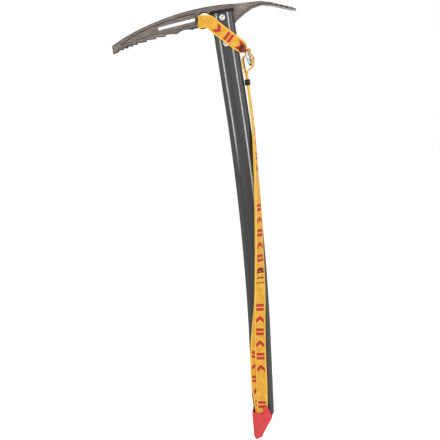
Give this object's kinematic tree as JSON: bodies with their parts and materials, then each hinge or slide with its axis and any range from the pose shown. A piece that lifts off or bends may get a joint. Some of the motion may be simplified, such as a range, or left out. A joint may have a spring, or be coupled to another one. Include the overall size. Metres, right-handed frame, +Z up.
{
  "type": "ice axe",
  "caption": "General mountaineering ice axe with toothed pick, adze, bent alloy shaft, head sling, wrist loop on a ring, sliding keeper and removable spike cover.",
  "frame": {"origin": "centre of the head's eye, on the axe's middle plane", "axes": "+Z up along the straight upper shaft, -X towards the pick, +X towards the adze, -Y is the face that the wrist loop lies on"},
  "size_m": [0.2763, 0.0522, 0.6589],
  "materials": {
    "forged_steel": "satin",
    "shaft_alloy": "dark anodised, satin",
    "black_plastic": "matte",
    "rivet_steel": "satin",
    "cover_plastic": "soft satin",
    "webbing": "woven",
    "thread": "stitched",
    "ring_steel": "polished",
    "keeper_rubber": "matte"
  },
  "bodies": {
    "axe": {"head": "forged_steel", "shaft": "shaft_alloy", "shaft_cap_front": "black_plastic", "shaft_cap_back": "black_plastic", "upper_rivet": "rivet_steel", "lower_rivet": "rivet_steel", "spike_rivet": "rivet_steel", "end_plug": "black_plastic", "spike": "forged_steel", "head_sling": "webbing", "sling_stitching": "thread", "wrist_loop_bight": "webbing", "wrist_leg_inner": "webbing", "wrist_leg_outer": "webbing", "wrist_loop_end": "webbing", "wrist_loop_stitching": "thread"},
    "ring": {"ring": "ring_steel"},
    "keeper": {"keeper": "keeper_rubber"},
    "cover": {"spike_cover": "cover_plastic"}
  },
  "joints": [
    {"name": "ring_spin", "type": "hinge", "parent": "axe", "child": "ring", "pos_m": [0.0563, 0, -0.0643], "axis": [0.9845, -0.1559, 0.0802], "continuous": true},
    {"name": "keeper_slide", "type": "slide", "parent": "axe", "child": "keeper", "axis": [-0.0205, 0, -0.9998], "range_m": [-0.01, 0.05]},
    {"name": "spike_cover_pull", "type": "slide", "parent": "axe", "child": "cover", "axis": [-0.1101, 0, -0.9939], "range_m": [0, 0.045]}
  ]
}
